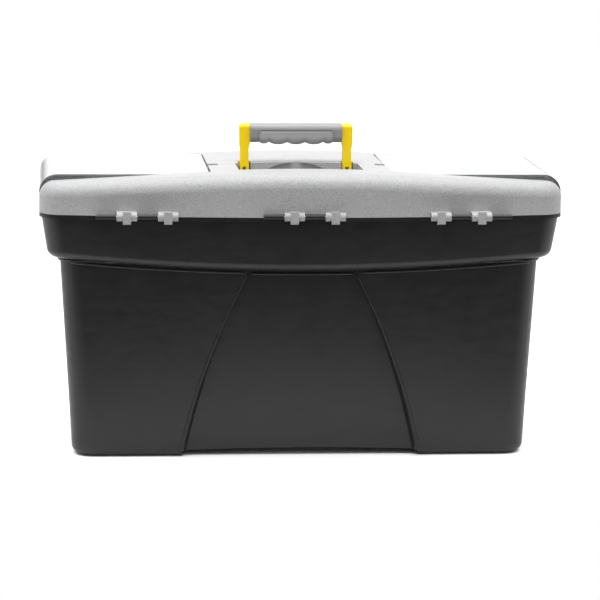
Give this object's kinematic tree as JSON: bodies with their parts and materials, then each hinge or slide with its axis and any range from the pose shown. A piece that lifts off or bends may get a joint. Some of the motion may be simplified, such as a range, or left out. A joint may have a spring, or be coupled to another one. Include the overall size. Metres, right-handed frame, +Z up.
{
  "type": "toolbox with tray",
  "caption": "Moulded plastic toolbox with an arched hinged lid, folding carry handle, flip-up organiser covers, front latches and a lift-out tray.",
  "frame": {"origin": "on the floor, at the middle of the base in length and depth", "axes": "+Z up, +X along the length, +Y towards the hinges, -Y towards the latches"},
  "size_m": [0.6, 0.3307, 0.3763],
  "materials": {
    "black_shell": "fine moulded grain",
    "lid_grey": "fine moulded grain",
    "tray_grey": "fine moulded grain",
    "bin_grey": "satin moulded",
    "divider_grey": "satin moulded",
    "clear_cover": "clear gloss",
    "handle_yellow": "satin gloss",
    "grip_grey": "satin moulded",
    "grip_soft": "soft matte",
    "pin_steel": "drawn wire"
  },
  "bodies": {
    "base": {"base_tub": "black_shell", "hinge_pin_left": "pin_steel", "hinge_pin_centre": "pin_steel", "hinge_pin_right": "pin_steel"},
    "lid": {"lid_shell": "lid_grey", "organizer_bin_left": "bin_grey", "organizer_bin_right": "bin_grey", "cover_hinge_pin_left": "pin_steel", "cover_hinge_pin_right": "pin_steel", "handle_pin_left": "pin_steel", "handle_pin_right": "pin_steel", "latch_pin_left": "pin_steel", "latch_pin_right": "pin_steel"},
    "handle": {"handle_frame": "handle_yellow", "handle_grip": "grip_grey", "handle_grip_pad": "grip_soft"},
    "cover_left": {"organizer_cover_left": "clear_cover"},
    "cover_right": {"organizer_cover_right": "clear_cover"},
    "latch_left": {"latch_left": "handle_yellow"},
    "latch_right": {"latch_right": "handle_yellow"},
    "tray": {"tray": "tray_grey", "tray_divider_1": "divider_grey", "tray_divider_2": "divider_grey", "tray_divider_3": "divider_grey", "tray_divider_4": "divider_grey"}
  },
  "joints": [
    {"name": "lid_hinge", "type": "hinge", "parent": "base", "child": "lid", "pos_m": [0, 0.157, 0.2855], "axis": [-1, 0, 0], "range_deg": [0, 105]},
    {"name": "handle_fold", "type": "hinge", "parent": "lid", "child": "handle", "pos_m": [0, 0.004, 0.3145], "axis": [-1, 0, 0], "range_deg": [0, 90]},
    {"name": "cover_left_hinge", "type": "hinge", "parent": "lid", "child": "cover_left", "pos_m": [0.2964, 0, 0.3068], "axis": [0, 1, 0], "range_deg": [0, 110]},
    {"name": "cover_right_hinge", "type": "hinge", "parent": "lid", "child": "cover_right", "pos_m": [-0.2964, 0, 0.3068], "axis": [0, -1, 0], "range_deg": [0, 110]},
    {"name": "latch_left_hinge", "type": "hinge", "parent": "lid", "child": "latch_left", "pos_m": [0.15, -0.1585, 0.2995], "axis": [-1, 0, 0], "range_deg": [0, 100]},
    {"name": "latch_right_hinge", "type": "hinge", "parent": "lid", "child": "latch_right", "pos_m": [-0.15, -0.1585, 0.2995], "axis": [-1, 0, 0], "range_deg": [0, 100]},
    {"name": "tray_lift", "type": "slide", "parent": "base", "child": "tray", "axis": [0, 0, 1], "range_m": [0, 0.012]}
  ]
}
